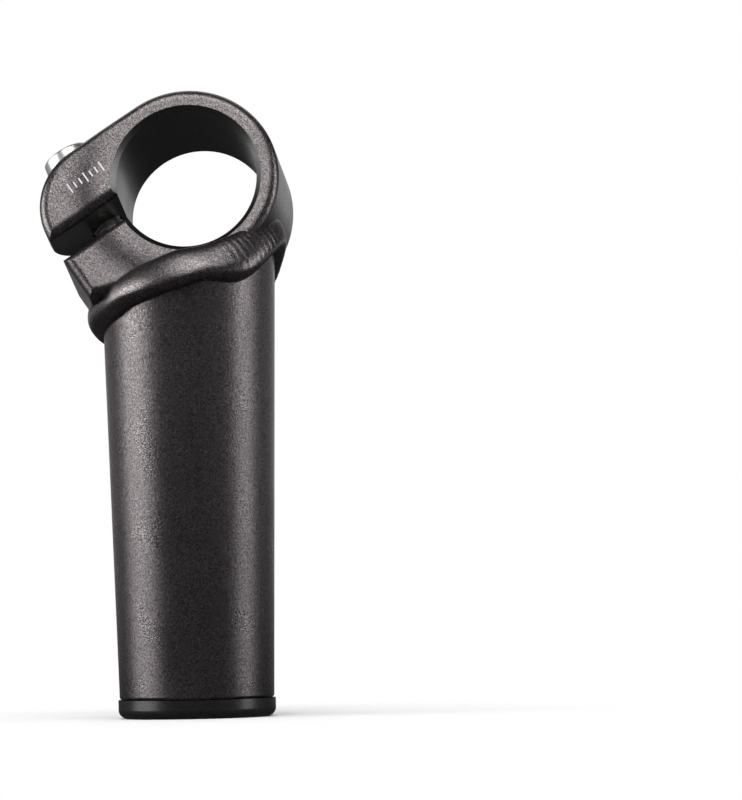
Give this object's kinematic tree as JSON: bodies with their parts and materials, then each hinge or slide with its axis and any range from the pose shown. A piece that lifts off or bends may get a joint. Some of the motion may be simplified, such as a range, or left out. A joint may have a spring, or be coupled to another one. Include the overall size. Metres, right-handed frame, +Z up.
{
  "type": "bar end",
  "caption": "Clamp-on bicycle bar end: a split handlebar clamp with a pinch bolt carries a straight, tapered horn tube that is welded on at a cant and closed by an end plug.",
  "frame": {"origin": "middle of the handlebar bore, on its axis, halfway through the clamp", "axes": "+Z up along the horn's axis, away from the end plug; -X towards the ears and the pinch bolt; -Y towards the clamp's outboard face. The bore's axis lies in the YZ plane, 16.1 degrees out of level, its outboard end the higher one"},
  "size_m": [0.0383, 0.034, 0.0986],
  "materials": {
    "anodised": "fine bead-blasted, satin black anodised",
    "bolt_steel": "bright zinc-plated steel",
    "plug_plastic": "satin black moulded plastic"
  },
  "bodies": {
    "root": {"clamp_body": "anodised", "horn_tube": "anodised", "weld_bead": "anodised", "clamp_bolt": "bolt_steel", "end_plug": "plug_plastic"}
  },
  "joints": []
}
